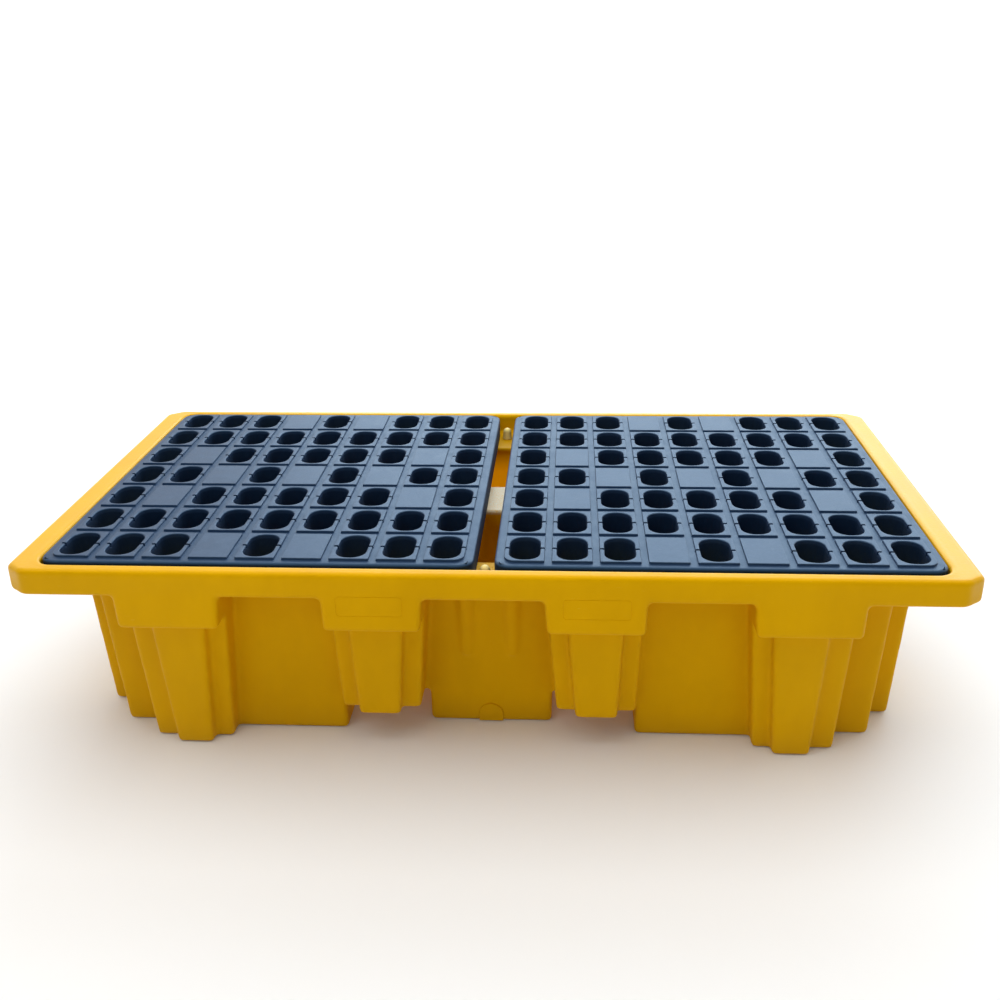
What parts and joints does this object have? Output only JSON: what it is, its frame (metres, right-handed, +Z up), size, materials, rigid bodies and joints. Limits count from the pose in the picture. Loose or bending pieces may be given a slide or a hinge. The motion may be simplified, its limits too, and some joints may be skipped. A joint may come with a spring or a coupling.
{
  "type": "spill containment pallet",
  "caption": "Two-drum spill pallet: moulded yellow sump with a stepped rim and fork channels under navy lift-out well grates.",
  "frame": {"origin": "under the middle of the pallet, on the floor it stands on", "axes": "+X along the length to the right, +Y to the back, +Z up; the fork channels run along Y"},
  "size_m": [1.3, 0.68, 0.3053],
  "materials": {
    "sump_yellow": "moulded polyethylene, satin with a fine grain",
    "grate_navy": "moulded polyethylene, fine matte grain",
    "peg_yellow": "moulded polyethylene, smooth",
    "column_yellow": "moulded polyethylene, satin"
  },
  "bodies": {
    "sump": {"sump_tray": "sump_yellow", "front_locating_peg": "peg_yellow", "rear_locating_peg": "peg_yellow", "centre_support_column": "column_yellow", "left_support_column": "column_yellow", "right_support_column": "column_yellow"},
    "left_grate": {"left_grate": "grate_navy"},
    "right_grate": {"right_grate": "grate_navy"}
  },
  "joints": [
    {"name": "left_grate_lift", "type": "slide", "parent": "sump", "child": "left_grate", "axis": [0, 0, 1], "range_m": [0, 0.3]},
    {"name": "right_grate_lift", "type": "slide", "parent": "sump", "child": "right_grate", "axis": [0, 0, 1], "range_m": [0, 0.3]}
  ]
}
